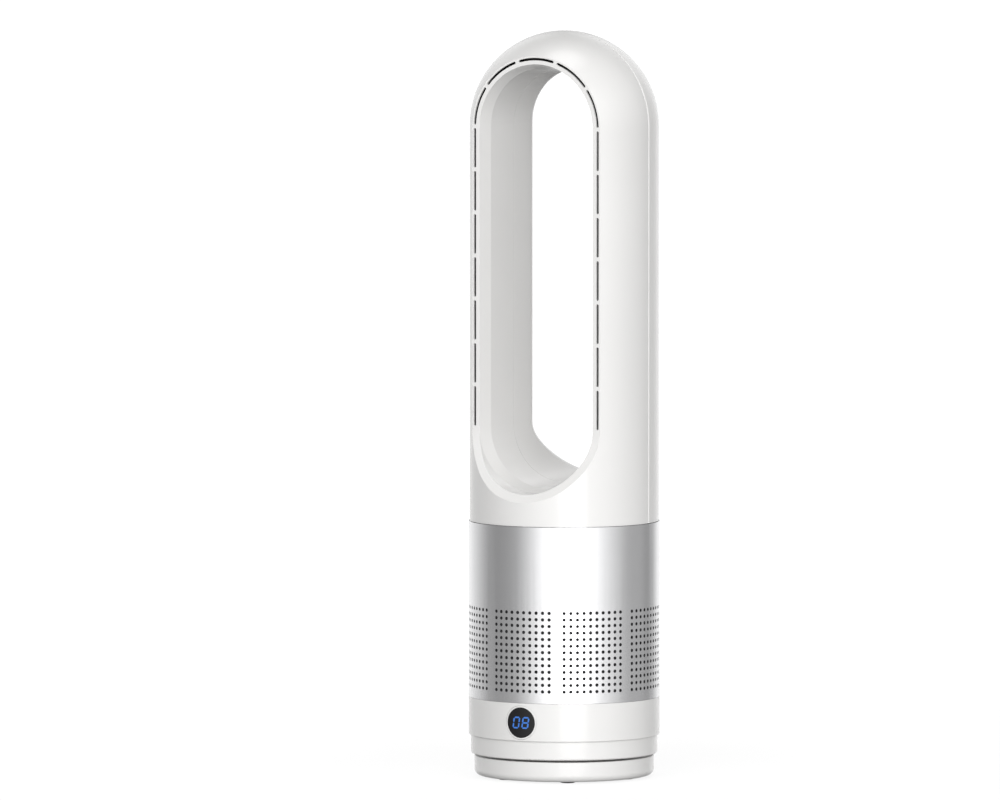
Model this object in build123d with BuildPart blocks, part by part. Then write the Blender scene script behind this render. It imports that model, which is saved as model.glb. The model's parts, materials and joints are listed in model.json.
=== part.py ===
from build123d import *

import os
from math import atan, cos, degrees, pi, radians, sin, sqrt, tan

# A loop tower fan: a turning body with a perforated intake, a blower inside it and a
# hollow air loop above, on a foot that stands still. Millimetres, Z up, front at -Y,
# origin on the floor under the turning axis.

# ---- Driving dimensions -------------------------------------------------------------
body_radius = 105.0          # intake sleeve and control ring
body_wall = 2.5
fit_gap = 0.2                # between parts that are only set into each other
running_gap = 0.05           # radial, between parts that turn in each other
seat_gap = 0.1               # between stacked parts that turn on each other

# The stack from the floor up, and how far each part stands in from the sleeve
foot_bottom = 2.0
foot_height = 22.0
foot_step = 6.2
foot_top = foot_bottom + foot_height
foot_radius = body_radius - foot_step
swivel_gap = 2.4             # open gap between the foot and the turning body
swivel_height = 20.6
swivel_step = 2.5
swivel_bottom = foot_top + swivel_gap
swivel_top = swivel_bottom + swivel_height
swivel_radius = body_radius - swivel_step
lens_radius = 16.75
bezel_rim = 1.85
bezel_radius = lens_radius + bezel_rim
ring_margin_below = 1.7      # of the ring, under the bezel
deck_drop = 2.6              # ring's upper edge to the deck's underside
ring_margin_above = deck_drop + fit_gap
display_rise = ring_margin_below + bezel_radius
ring_height = display_rise + bezel_radius + ring_margin_above
ring_bottom = swivel_top + fit_gap
ring_top = ring_bottom + ring_height
sleeve_wall = 1.4
sleeve_height = 193.5
sleeve_bottom = ring_top + fit_gap
sleeve_top = sleeve_bottom + sleeve_height
loop_gap = 0.4
loop_step = 1.0
loop_base = sleeve_top + loop_gap    # lower edge of the loop shells
loop_radius = body_radius - loop_step

# Air loop
loop_wall = 2.5
sill_rise = 103.9            # loop base to the centre of the opening's lower arc
opening_length = 331.2       # between the centres of the opening's two arcs
sill_height = loop_base + sill_rise
arch_height = sill_height + opening_length
rim_depth = 68.1             # flat rim round the opening, ahead of the axis
lip_half_width = 69.7        # opening at the inner edge of the flat rim
throat_half_width = 65.0     # opening where the front bevel ends
throat_depth = 49.5          # ahead of the axis
waist_half_width = 60.4      # opening where the rounded trailing edge begins
waist_depth = 37.0           # behind the axis
trailing_radius = 17.6
edge_radius = 0.9            # moulded edges
seam_gap = 0.5
seam_radius = 1.6

# Air slots along the rim
slot_inset = 5.7             # lip to the middle of the slots
slot_path_half_width = lip_half_width + slot_inset
slot_width = 2.8
slot_bridge = 4.0
arch_slots = 5
side_slots = 7
liner_wall = 1.2
liner_length = 14.0
liner_gap = 0.3

# Intake holes
hole_diameter = 3.7
hole_rows = 13
hole_row_pitch = 7.19
hole_rise = 13.2             # sleeve's lower edge to the first row
hole_bottom = sleeve_bottom + hole_rise
hole_groups = 8
hole_columns = 10
hole_column_angle = 4.0

# Control ring and swivel base
swivel_floor_thickness = 3.0
swivel_edge_radius = 1.5
ring_edge_radius = 0.6
display_height = ring_bottom + display_rise
lens_recess = 0.4
lens_thickness = 1.9
digit_height = 13.1
digit_width = 8.4
digit_pitch = 11.0
digit_stroke = 1.7
digit_lean = 8.0             # degrees
digit_depth = 0.9

# Foot
foot_wall = 2.5
foot_edge_radius = 7.0
foot_deck = 3.0
well_wall = 2.5
well_depth = 7.0
well_gap = 2.0               # round the bearing
well_floor = foot_top - well_depth
well_floor_thickness = 3.0
pad_radius = 8.0
pad_height = 3.5
pad_inset = 22.8
pad_circle = foot_radius - pad_inset
pad_count = 6
ballast_height = 8.0
ballast_outer = 64.0
ballast_inner = 30.0

# Swivel bearing, pivot and gears
ball_radius = 3.0
ball_circle = 57.0
ball_count = 18
race_thickness = 2.0         # of each race, below or above the balls
race_height = ball_radius + race_thickness
race_half_width = 7.0
ball_height = well_floor + race_height
swivel_floor = ball_height + race_height
well_radius = ball_circle + race_half_width + well_gap
post_radius = 16.0
post_bore = 10.0
post_neck = 13.0
gear_module = 1.5
sun_teeth = 48
pinion_teeth = 16
pressure_angle = 20.0
gear_backlash = 0.25
dedendum = 1.25              # of the module
gear_thickness = 6.0
hub_rise = 6.0
washer_space = 1.6
plate_top = swivel_floor + swivel_floor_thickness
hub_top = plate_top + hub_rise
gear_bottom = hub_top + washer_space

# Blower
shaft_radius = 3.0
blade_count = 9
vane_count = 11
housing_wall = 2.5
blade_gap = 1.5
cup_radius = 38.5
cup_wall = 2.5

# Frame inside the sleeve
frame_clearance = 0.8
column_inset = 2.5
column_depth = 8.3
ledge_width = 8.0
frame_outer = body_radius - sleeve_wall - frame_clearance
column_outer = frame_outer - column_inset
column_inner = column_outer - column_depth
frame_inner = column_inner - ledge_width
column_width = 12.0
column_edge_radius = 1.5
column_count = 4
frame_ring_thickness = 4.0

# Screws
screw_radius = 1.5
screw_head_rim = 1.7
screw_head_radius = screw_radius + screw_head_rim
screw_head_height = 2.0
boss_wall = 2.5
boss_radius = screw_radius + boss_wall
cross_length = 3.6
cross_width = 0.8
cross_depth = 1.0
screw_end_gap = 0.5          # between a screw's end and the bottom of its hole

# ---- Shared shapes ------------------------------------------------------------------


def turned(*outline):
    """A body of revolution about Z from (radius, height) corners."""
    with BuildPart() as body:
        with BuildSketch(Plane.XZ):
            with BuildLine():
                Polyline(*outline, close=True)
            make_face()
        revolve(axis=Axis.Z)
    return body.part


def tube(inner, outer, bottom, top):
    """A plain ring about Z."""
    return turned((inner, bottom), (outer, bottom), (outer, top), (inner, top))


def disc(radius, bottom, top):
    """A plain round plate about Z."""
    return turned((0, bottom), (radius, bottom), (radius, top), (0, top))


def pins(radius, bottom, top, places):
    """Upright round pins of one size at several places."""
    with BuildPart() as group:
        with BuildSketch(Plane.XY.offset(bottom)):
            with Locations(*places):
                Circle(radius)
        extrude(amount=top - bottom)
    return group.part


def around(radius, count, first=0.0):
    """Places evenly spaced on a circle, the first at an angle in degrees."""
    angles = [radians(first + 360 * k / count) for k in range(count)]
    return [(radius * cos(a), radius * sin(a)) for a in angles]


def cross_screws(places, seat, length):
    """Screws standing upright, heads on top of the seat height."""
    with BuildPart() as group:
        with BuildSketch(Plane.XY.offset(seat - length)):
            with Locations(*places):
                Circle(screw_radius)
        extrude(amount=length)
        with BuildSketch(Plane.XY.offset(seat)):
            with Locations(*places):
                Circle(screw_head_radius)
        extrude(amount=screw_head_height)
        with BuildSketch(Plane.XY.offset(seat + screw_head_height)):
            with Locations(*places):
                Rectangle(cross_length, cross_width)
                Rectangle(cross_width, cross_length)
        extrude(amount=-cross_depth, mode=Mode.SUBTRACT)
    return group.part


def front_patch(radius, outer, inner):
    """A round patch of a cylinder wall, facing the front at the display's height."""
    with BuildPart() as patch:
        add(tube(inner, outer, display_height - radius - 1, display_height + radius + 1))
        with BuildSketch(Plane.XZ):
            with Locations((0, display_height)):
                Circle(radius)
        extrude(amount=body_radius + 5, mode=Mode.INTERSECT)
    return patch.part


os.makedirs("parts", exist_ok=True)

# ---- Fittings that follow from the sizes above ----------------------------------------
# Foot fittings
cover_radius = foot_radius - foot_edge_radius - 4.0
cover_top = foot_bottom + foot_wall
foot_boss_inset = 10.0
foot_boss_circle = well_radius - foot_boss_inset
foot_boss_places = around(foot_boss_circle, 4, 45)
wide_boss_wall = 3.0
foot_boss_radius = screw_radius + wide_boss_wall
foot_screw_length = 10.0
foot_screw_recess = 1.4
foot_head_height = 1.2

# Power inlet in the back wall of the foot
inlet_width = 24.0
inlet_height = 13.0
inlet_rise = 10.5
inlet_centre = foot_bottom + inlet_rise
inlet_setback = 1.2
inlet_room = 7.1             # behind the inlet, for its lead
inlet_face = foot_radius - inlet_setback
inlet_depth = inlet_face - well_radius - well_wall - inlet_room
socket_width = 16.0
socket_height = 8.6
socket_depth = 12.0
contact_radius = 1.2
contact_pitch = 8.6
contact_tip_radius = 0.8
lead_radius = 2.5
lead_drop = 2.9
lead_height = inlet_centre - lead_drop

# Pivot fittings
flange_radius = 24.0
flange_thickness = 3.0
post_screw_circle = 20.0
post_screw_places = around(post_screw_circle, 4, 45)
post_screw_grip = 2.5
clip_height = 1.6
clip_bottom = gear_bottom + gear_thickness + seat_gap
clip_top = clip_bottom + clip_height
post_end = 1.7
post_top = clip_top + post_end
clip_depth = 1.0
race_groove = 1.0
cage_half_height = 0.8
boss_outer = 20.0
sun_hole_circle = 24.0
sun_hole_count = 6
sun_hole_radius = 5.0
flank_steps = 6               # lines along one face of a tooth

# Control fittings
ring_boss_inset = 12.0
ring_boss_circle = body_radius - ring_boss_inset
ring_boss_places = around(ring_boss_circle, 4, 45)
ring_boss_radius = screw_radius + wide_boss_wall
ring_screw_length = 8.0
ledge_reach = 17.0
ledge_inner = body_radius - ledge_reach
ledge_thickness = 3.0
deck_thickness = 2.5
deck_bottom = ring_top - deck_drop
deck_top = deck_bottom + deck_thickness
deck_ledge_reach = 8.0
deck_ledge_inner = body_radius - deck_ledge_reach
deck_ledge_edge = 2.0
deck_ledge_height = 6.0
deck_radius = body_radius - body_wall - fit_gap
deck_screw_inset = 11.6
deck_screw_circle = body_radius - deck_screw_inset
deck_screw_places = around(deck_screw_circle, 4, 45)
cable_hole_radius = 10.0
bezel_depth = 5.0
bezel_back = body_radius - bezel_depth
window_rim = 2.25
window_radius = lens_radius - window_rim
digit_gap = 0.3
board_thickness = 1.6
board_inset = 15.0
board_face = body_radius - board_inset
led_width = 22.0
led_height = 16.0
led_gap = 0.3
display_board_width = 46.0
display_board_height = 28.0
display_screw_x = 19.0
display_screw_z = 9.5
display_screw_places = [(x, display_height + z) for x in (-display_screw_x, display_screw_x)
                        for z in (-display_screw_z, display_screw_z)]
carrier_post = 7.0
carrier_centre = board_face
carrier_depth = 18.0
board_rise = 22.0
board_height = plate_top + board_rise
board_screw_length = 8.0
main_board_inset = 28.0
main_board_centre = main_board_inset - board_face
board_screw_x = 36.0
board_screw_y = 13.5
board_places = [(x, main_board_centre + y) for x in (-board_screw_x, board_screw_x)
                for y in (-board_screw_y, board_screw_y)]
main_board_width = 80.0
main_board_depth = 36.0
transformer_size = 20.0
transformer_height = 16.0
capacitor_radius = 5.0
capacitor_height = 14.0
heat_sink_width = 10.0
heat_sink_length = 22.0
connector_width = 8.0
connector_depth = 5.0
connector_height = 8.0
receiver_offset = 15.5
receiver_width = 6.0
receiver_height = 7.0
receiver_lens_radius = 2.4
receiver_lens_height = 1.6
lead_rise = 22.0
lead_top = board_height + lead_rise
connector_inset = 3.0
lead_end = main_board_centre + main_board_depth / 2 - connector_inset

# Oscillation drive fittings
drive_offset = gear_module * (sun_teeth + pinion_teeth) / 2
drive_shaft_radius = 2.5
drive_shaft_reach = 6.0
collar_radius = 5.5
motor_radius = 14.0
motor_height = 19.0
ear_offset = 17.5
ear_thickness = 1.2
ear_places = [(-ear_offset, drive_offset), (ear_offset, drive_offset)]
bracket_sheet = 2.0
bracket_depth = 22.0
bracket_half_width = 24.0
bracket_foot = 34.0
bracket_height = 22.0
bracket_top = plate_top + bracket_height
bracket_screw_x = 30.0
bracket_places = [(-bracket_screw_x, drive_offset), (bracket_screw_x, drive_offset)]

# Blower fittings
filter_gap = 0.1
gasket_thickness = 1.5
eye_radius = 58.0
bell_curve = 8.0
housing_foot = eye_radius + bell_curve
flange_width = 8.0
duct_radius = 76.0
wheel_height = 24.0
seal_height = 4.8
duct_rise = 5.0
cup_height = 25.0
wheel_clearance = 4.0
duct_top = loop_base - fit_gap - seal_height
cup_top = duct_top - duct_rise
cup_bottom = cup_top - cup_height
wheel_top = cup_bottom - wheel_clearance
wheel_bottom = wheel_top - wheel_height
bell_top = wheel_bottom - blade_gap - bell_curve + housing_wall
bell_bottom = bell_top - housing_wall
mid_top = bell_bottom - gasket_thickness
mid_ring_height = mid_top - frame_ring_thickness
blade_root = 16.0
blade_sweep = -55.0
blade_thickness = 1.8
hub_nose = 14.0
hub_step = 0.5
hub_radius = cup_radius - hub_step
nut_height = 7.0
bearing_section = 5.0
bearing_radius = shaft_radius + bearing_section
bearing_height = 5.0
core_height = 11.0
coil_clearance = 6.0
bearing_seat_wall = 2.5
air_gap = 0.8                 # between the rotor and the stator's poles
rotor_radius = 14.0
yoke_depth = 7.5
yoke_radius = cup_radius - yoke_depth
pole_count = 6
pole_width = 6.0
coil_inner = 17.5
coil_outer = yoke_radius - 1
coil_width = 13.0
coil_overhang = 2.0
coil_edge_radius = 1.5
vane_thickness = 2.0
vane_angle = 25.0
hanger_radius = column_inner
hanger_rise = 18.0
hanger_height = cup_bottom + hanger_rise
mount_radius = 4.0
mount_height = 4.0
mount_circle = (frame_inner + column_inner) / 2
top_ring_height = hanger_height - mount_height - frame_ring_thickness
dome_radius = 14.0
dome_rise = 15.0
dome_top = cup_top + dome_rise
dome_wall = 2.0

# Loop fittings
neck_opening = duct_radius - 1
neck_thickness = 3.0
collar_gap = 0.6
collar_wall = 1.9
collar_inner = hanger_radius + collar_gap
collar_outer = collar_inner + collar_wall
neck_screw_count = 6
neck_screw_inset = 6.0
neck_screw_circle = loop_radius - neck_screw_inset
neck_screw_places = around(neck_screw_circle, neck_screw_count, 30)
neck_head_radius = 2.8
neck_boss_radius = screw_radius + wide_boss_wall
neck_boss_height = 12.0
liner_setback = 3.6
sweep_steps = 8               # points along the recess below the rim

# ---- Foot ---------------------------------------------------------------------------
with BuildPart() as foot_shell:
    with BuildSketch(Plane.XZ):
        with BuildLine():
            Polyline((foot_radius, foot_bottom + foot_edge_radius),
                     (foot_radius, foot_top), (well_radius, foot_top),
                     (well_radius, well_floor), (post_bore, well_floor),
                     (post_bore, well_floor - well_floor_thickness),
                     (well_radius + well_wall, well_floor - well_floor_thickness),
                     (well_radius + well_wall, foot_top - foot_deck),
                     (foot_radius - foot_wall, foot_top - foot_deck),
                     (foot_radius - foot_wall, foot_bottom + foot_edge_radius))
            CenterArc((foot_radius - foot_edge_radius, foot_bottom + foot_edge_radius),
                      foot_edge_radius - foot_wall, 0, -90)
            Polyline((foot_radius - foot_edge_radius, cover_top),
                     (cover_radius + fit_gap, cover_top),
                     (cover_radius + fit_gap, foot_bottom),
                     (foot_radius - foot_edge_radius, foot_bottom))
            CenterArc((foot_radius - foot_edge_radius, foot_bottom + foot_edge_radius),
                      foot_edge_radius, -90, 90)
        make_face()
    revolve(axis=Axis.Z)
    fillet(foot_shell.edges().filter_by(GeomType.CIRCLE).group_by(Axis.Z)[-1]
           .sort_by(SortBy.LENGTH)[-1], edge_radius)
    add(pins(foot_boss_radius, cover_top, well_floor - 1, foot_boss_places))
    with BuildSketch(Plane.XZ.offset(-foot_radius - 5)):
        with Locations((0, inlet_centre)):
            RectangleRounded(inlet_width + 2 * fit_gap, inlet_height + 2 * fit_gap, 2.0)
    extrude(amount=foot_wall + foot_edge_radius + 4, mode=Mode.SUBTRACT)
    with BuildSketch(Plane.XY.offset(cover_top - 1)):
        with Locations(*foot_boss_places):
            Circle(screw_radius)
    extrude(amount=foot_screw_length, mode=Mode.SUBTRACT)
    with BuildSketch(Plane.XY.offset(well_floor)):
        with Locations(*post_screw_places):
            Circle(screw_radius)
    extrude(amount=-post_screw_grip, mode=Mode.SUBTRACT)
foot_shell.part.label = "foot_shell"
export_step(foot_shell.part, "parts/foot_shell.step")

with BuildPart() as foot_cover:
    add(disc(cover_radius, foot_bottom, cover_top))
    with BuildSketch(Plane.XY.offset(foot_bottom)):
        with Locations(*around(pad_circle, pad_count)):
            Circle(pad_radius + fit_gap)
    extrude(amount=pad_height - foot_bottom, mode=Mode.SUBTRACT)
    with BuildSketch(Plane.XY.offset(foot_bottom)):
        with Locations(*foot_boss_places):
            Circle(screw_radius + fit_gap)
    extrude(amount=foot_wall, mode=Mode.SUBTRACT)
    with BuildSketch(Plane.XY.offset(foot_bottom)):
        with Locations(*foot_boss_places):
            Circle(screw_head_radius + fit_gap)
    extrude(amount=foot_screw_recess, mode=Mode.SUBTRACT)
foot_cover.part.label = "foot_cover"
export_step(foot_cover.part, "parts/foot_cover.step")

with BuildPart() as rubber_feet:
    add(pins(pad_radius, 0, pad_height, around(pad_circle, pad_count)))
    fillet(rubber_feet.edges().group_by(Axis.Z)[0], edge_radius)
rubber_feet.part.label = "rubber_feet"
export_step(rubber_feet.part, "parts/rubber_feet.step")

with BuildPart() as foot_screws:
    with BuildSketch(Plane.XY.offset(foot_bottom + foot_screw_recess)):
        with Locations(*foot_boss_places):
            Circle(screw_radius)
    extrude(amount=foot_screw_length - 2)
    with BuildSketch(Plane.XY.offset(foot_bottom + foot_screw_recess)):
        with Locations(*foot_boss_places):
            Circle(screw_head_radius)
    extrude(amount=-foot_head_height)
    with BuildSketch(Plane.XY.offset(foot_bottom + foot_screw_recess - foot_head_height)):
        with Locations(*foot_boss_places):
            Rectangle(cross_length, cross_width)
            Rectangle(cross_width, cross_length)
    extrude(amount=foot_head_height / 2, mode=Mode.SUBTRACT)
foot_screws.part.label = "foot_screws"
export_step(foot_screws.part, "parts/foot_screws.step")

with BuildPart() as ballast_plate:
    add(tube(ballast_inner, ballast_outer, cover_top + seat_gap,
             cover_top + seat_gap + ballast_height))
    with BuildSketch(Plane.XY.offset(cover_top)):
        with Locations(*foot_boss_places):
            Circle(foot_boss_radius + 1)
        with Locations((0, ballast_outer)):
            Rectangle(4 * lead_radius, 2 * ballast_outer)
    extrude(amount=ballast_height + 1, mode=Mode.SUBTRACT)
ballast_plate.part.label = "ballast_plate"
export_step(ballast_plate.part, "parts/ballast_plate.step")

with BuildPart() as power_inlet:
    with BuildSketch(Plane.XZ.offset(-inlet_face)):
        with Locations((0, inlet_centre)):
            RectangleRounded(inlet_width, inlet_height, 2.0)
    extrude(amount=inlet_depth)
    with BuildSketch(Plane.XZ.offset(-inlet_face)):
        with Locations((0, inlet_centre)):
            SlotOverall(socket_width, socket_height)
    extrude(amount=socket_depth, mode=Mode.SUBTRACT)
    with BuildSketch(Plane.XZ.offset(-inlet_face + inlet_depth)):
        with Locations((-contact_pitch / 2, inlet_centre), (contact_pitch / 2, inlet_centre)):
            Circle(contact_radius)
    extrude(amount=-inlet_depth, mode=Mode.SUBTRACT)
    with BuildSketch(Plane.XZ.offset(-inlet_face + inlet_depth)):
        with Locations((0, lead_height)):
            Circle(lead_radius)
    extrude(amount=-4, mode=Mode.SUBTRACT)
power_inlet.part.label = "power_inlet"
export_step(power_inlet.part, "parts/power_inlet.step")

with BuildPart() as inlet_contacts:
    with BuildSketch(Plane.XZ.offset(-inlet_face + inlet_depth)):
        with Locations((-contact_pitch / 2, inlet_centre), (contact_pitch / 2, inlet_centre)):
            Circle(contact_radius)
    extrude(amount=-(inlet_depth - 2))
    fillet(inlet_contacts.edges().group_by(Axis.Y)[-1], contact_tip_radius)
inlet_contacts.part.label = "inlet_contacts"
export_step(inlet_contacts.part, "parts/inlet_contacts.step")

with BuildPart() as inlet_lead:
    with BuildLine():
        FilletPolyline((0, inlet_face - inlet_depth + 4, lead_height), (0, 0, lead_height),
                       (0, 0, gear_bottom), radius=3 * lead_radius)
    with BuildSketch(Plane.XZ.offset(-(inlet_face - inlet_depth + 4))):
        with Locations((0, lead_height)):
            Circle(lead_radius)
    sweep()
inlet_lead.part.label = "inlet_lead"
export_step(inlet_lead.part, "parts/inlet_lead.step")

# ---- Pivot, bearing and fixed gear ---------------------------------------------------
with BuildPart() as pivot_post:
    add(turned((post_bore, well_floor), (flange_radius, well_floor),
               (flange_radius, well_floor + flange_thickness),
               (post_radius, well_floor + flange_thickness), (post_radius, gear_bottom),
               (post_neck, gear_bottom), (post_neck, clip_bottom),
               (post_neck - clip_depth, clip_bottom), (post_neck - clip_depth, clip_top),
               (post_neck, clip_top), (post_neck, post_top), (post_bore, post_top)))
    with BuildSketch(Plane.XY.offset(well_floor)):
        with Locations(*post_screw_places):
            Circle(screw_radius + fit_gap)
    extrude(amount=flange_thickness, mode=Mode.SUBTRACT)
pivot_post.part.label = "pivot_post"
export_step(pivot_post.part, "parts/pivot_post.step")

with BuildPart() as post_screws:
    add(cross_screws(post_screw_places, well_floor + flange_thickness,
                     flange_thickness + post_screw_grip - screw_end_gap))
post_screws.part.label = "post_screws"
export_step(post_screws.part, "parts/post_screws.step")

with BuildPart() as lower_race:
    add(tube(ball_circle - race_half_width, ball_circle + race_half_width,
             well_floor, ball_height - ball_radius + race_groove))
    with BuildSketch(Plane.XZ):
        with Locations((ball_circle, ball_height)):
            Circle(ball_radius + running_gap)
    revolve(axis=Axis.Z, mode=Mode.SUBTRACT)
lower_race.part.label = "lower_race"
export_step(lower_race.part, "parts/lower_race.step")

with BuildPart() as upper_race:
    add(tube(ball_circle - race_half_width, ball_circle + race_half_width,
             ball_height + ball_radius - race_groove, swivel_floor))
    with BuildSketch(Plane.XZ):
        with Locations((ball_circle, ball_height)):
            Circle(ball_radius + running_gap)
    revolve(axis=Axis.Z, mode=Mode.SUBTRACT)
upper_race.part.label = "upper_race"
export_step(upper_race.part, "parts/upper_race.step")

with BuildPart() as bearing_cage:
    add(tube(ball_circle - race_half_width + 2, ball_circle + race_half_width - 2,
             ball_height - cage_half_height, ball_height + cage_half_height))
    with BuildSketch(Plane.XY.offset(ball_height - cage_half_height)):
        with Locations(*around(ball_circle, ball_count)):
            Circle(ball_radius + fit_gap)
    extrude(amount=2 * cage_half_height, mode=Mode.SUBTRACT)
bearing_cage.part.label = "bearing_cage"
export_step(bearing_cage.part, "parts/bearing_cage.step")

with BuildPart() as bearing_balls:
    with Locations(*[(x, y, ball_height) for x, y in around(ball_circle, ball_count)]):
        Sphere(ball_radius)
bearing_balls.part.label = "bearing_balls"
export_step(bearing_balls.part, "parts/bearing_balls.step")

with BuildPart() as thrust_washer:
    add(tube(post_radius + running_gap, boss_outer, hub_top + seat_gap,
             gear_bottom - seat_gap))
thrust_washer.part.label = "thrust_washer"
export_step(thrust_washer.part, "parts/thrust_washer.step")


def gear_corners(teeth, turn):
    """Corners of an involute gear, one tooth centred on the angle turn in degrees."""
    pitch = gear_module * teeth / 2
    base = pitch * cos(radians(pressure_angle))
    tip = pitch + gear_module
    root = pitch - dedendum * gear_module
    roll = tan(radians(pressure_angle))
    half = pi / (2 * teeth) - gear_backlash / (2 * pitch) + roll - atan(roll)
    last = sqrt((tip / base) ** 2 - 1)
    first = sqrt(max((root / base) ** 2 - 1, 0))
    rolls = [first + (last - first) * k / flank_steps for k in range(flank_steps + 1)]
    flank = [(base * sqrt(1 + t * t), half - t + atan(t)) for t in rolls]
    if root < base:
        flank.insert(0, (root, flank[0][1]))
    tooth = [(r, -a) for r, a in flank] + [(r, a) for r, a in reversed(flank)]
    corners = []
    for k in range(teeth):
        centre = radians(turn) + 2 * pi * k / teeth
        corners += [(r * cos(centre + a), r * sin(centre + a)) for r, a in tooth]
    return corners


with BuildPart() as sun_gear:
    with BuildSketch(Plane.XY.offset(gear_bottom)):
        Polygon(*gear_corners(sun_teeth, 0), align=None)
        Circle(post_neck + running_gap, mode=Mode.SUBTRACT)
        with Locations(*around(sun_hole_circle, sun_hole_count)):
            Circle(sun_hole_radius, mode=Mode.SUBTRACT)
    extrude(amount=gear_thickness)
sun_gear.part.label = "sun_gear"
export_step(sun_gear.part, "parts/sun_gear.step")

with BuildPart() as retaining_clip:
    add(tube(post_neck - clip_depth + running_gap, post_neck + 3,
             clip_bottom + running_gap, clip_top - running_gap))
    with BuildSketch(Plane.XY.offset(clip_bottom)):
        with Locations((-post_neck, 0)):
            Rectangle(2 * clip_depth + 4, 4)
    extrude(amount=clip_top - clip_bottom, mode=Mode.SUBTRACT)
retaining_clip.part.label = "retaining_clip"
export_step(retaining_clip.part, "parts/retaining_clip.step")

# ---- Swivel base --------------------------------------------------------------------
with BuildPart() as swivel_base:
    with BuildSketch(Plane.XZ):
        with BuildLine():
            Polyline((post_radius + running_gap, swivel_floor),
                     (swivel_radius - body_wall, swivel_floor),
                     (swivel_radius - body_wall, swivel_bottom),
                     (swivel_radius, swivel_bottom), (swivel_radius, swivel_top),
                     (swivel_radius - body_wall, swivel_top),
                     (swivel_radius - body_wall, plate_top), (boss_outer, plate_top),
                     (boss_outer, hub_top), (post_radius + running_gap, hub_top),
                     close=True)
        make_face()
    revolve(axis=Axis.Z)
    fillet(swivel_base.edges().filter_by(GeomType.CIRCLE)
           .filter_by(lambda e: abs(e.radius - swivel_radius) < 0.01)
           .group_by(Axis.Z)[0], swivel_edge_radius)
    add(pins(ring_boss_radius, plate_top - 1, swivel_top, ring_boss_places))
    add(pins(boss_radius, plate_top - 1, board_height, board_places))
    with BuildSketch(Plane.XY.offset(swivel_top)):
        with Locations(*ring_boss_places):
            Circle(screw_radius)
    extrude(amount=-ring_screw_length, mode=Mode.SUBTRACT)
    with BuildSketch(Plane.XY.offset(board_height)):
        with Locations(*board_places):
            Circle(screw_radius)
    extrude(amount=-board_screw_length, mode=Mode.SUBTRACT)
    with BuildSketch(Plane.XY.offset(plate_top)):
        with Locations(*bracket_places):
            Circle(screw_radius)
    extrude(amount=-swivel_floor_thickness, mode=Mode.SUBTRACT)
swivel_base.part.label = "swivel_base"
export_step(swivel_base.part, "parts/swivel_base.step")

# ---- Oscillation drive --------------------------------------------------------------
with BuildPart() as drive_bracket:
    with BuildSketch(Plane.XZ.offset(-(drive_offset - bracket_depth / 2))):
        with BuildLine():
            Polyline((-bracket_foot, plate_top), (-bracket_half_width, plate_top),
                     (-bracket_half_width, bracket_top - bracket_sheet),
                     (bracket_half_width, bracket_top - bracket_sheet),
                     (bracket_half_width, plate_top), (bracket_foot, plate_top),
                     (bracket_foot, plate_top + bracket_sheet),
                     (bracket_half_width + bracket_sheet, plate_top + bracket_sheet),
                     (bracket_half_width + bracket_sheet, bracket_top),
                     (-bracket_half_width - bracket_sheet, bracket_top),
                     (-bracket_half_width - bracket_sheet, plate_top + bracket_sheet),
                     (-bracket_foot, plate_top + bracket_sheet), close=True)
        make_face()
    extrude(amount=-bracket_depth)
    with BuildSketch(Plane.XY.offset(bracket_top)):
        with Locations((0, drive_offset)):
            Circle(collar_radius + fit_gap)
        with Locations(*ear_places):
            Circle(screw_radius)
    extrude(amount=-bracket_sheet, mode=Mode.SUBTRACT)
    with BuildSketch(Plane.XY.offset(plate_top)):
        with Locations(*bracket_places):
            Circle(screw_radius + fit_gap)
    extrude(amount=bracket_sheet, mode=Mode.SUBTRACT)
drive_bracket.part.label = "drive_bracket"
export_step(drive_bracket.part, "parts/drive_bracket.step")

with BuildPart() as oscillation_motor:
    with BuildSketch(Plane.XY.offset(bracket_top)):
        with Locations((0, drive_offset)):
            Circle(motor_radius)
    extrude(amount=motor_height)
    fillet(oscillation_motor.edges().group_by(Axis.Z)[-1], 1.0)
    with BuildSketch(Plane.XY.offset(bracket_top)):
        with Locations((0, drive_offset)):
            SlotOverall(2 * ear_offset + 4 * screw_radius + 1, 4 * screw_radius + 1)
    extrude(amount=ear_thickness)
    with BuildSketch(Plane.XY.offset(bracket_top)):
        with Locations(*ear_places):
            Circle(screw_radius + fit_gap)
    extrude(amount=ear_thickness, mode=Mode.SUBTRACT)
    with BuildSketch(Plane.XY.offset(bracket_top)):
        with Locations((0, drive_offset)):
            Circle(collar_radius)
    extrude(amount=-bracket_sheet)
    with BuildSketch(Plane.XY.offset(bracket_top - bracket_sheet)):
        with Locations((0, drive_offset)):
            Circle(drive_shaft_radius + running_gap)
    extrude(amount=bracket_sheet + drive_shaft_reach + 1, mode=Mode.SUBTRACT)
oscillation_motor.part.label = "oscillation_motor"
export_step(oscillation_motor.part, "parts/oscillation_motor.step")

with BuildPart() as drive_screws:
    add(cross_screws(bracket_places, plate_top + bracket_sheet,
                     bracket_sheet + swivel_floor_thickness - screw_end_gap))
    add(cross_screws(ear_places, bracket_top + ear_thickness, ear_thickness + bracket_sheet))
drive_screws.part.label = "drive_screws"
export_step(drive_screws.part, "parts/drive_screws.step")

pinion_bottom = gear_bottom + fit_gap
pinion_top = gear_bottom + gear_thickness - fit_gap

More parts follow.
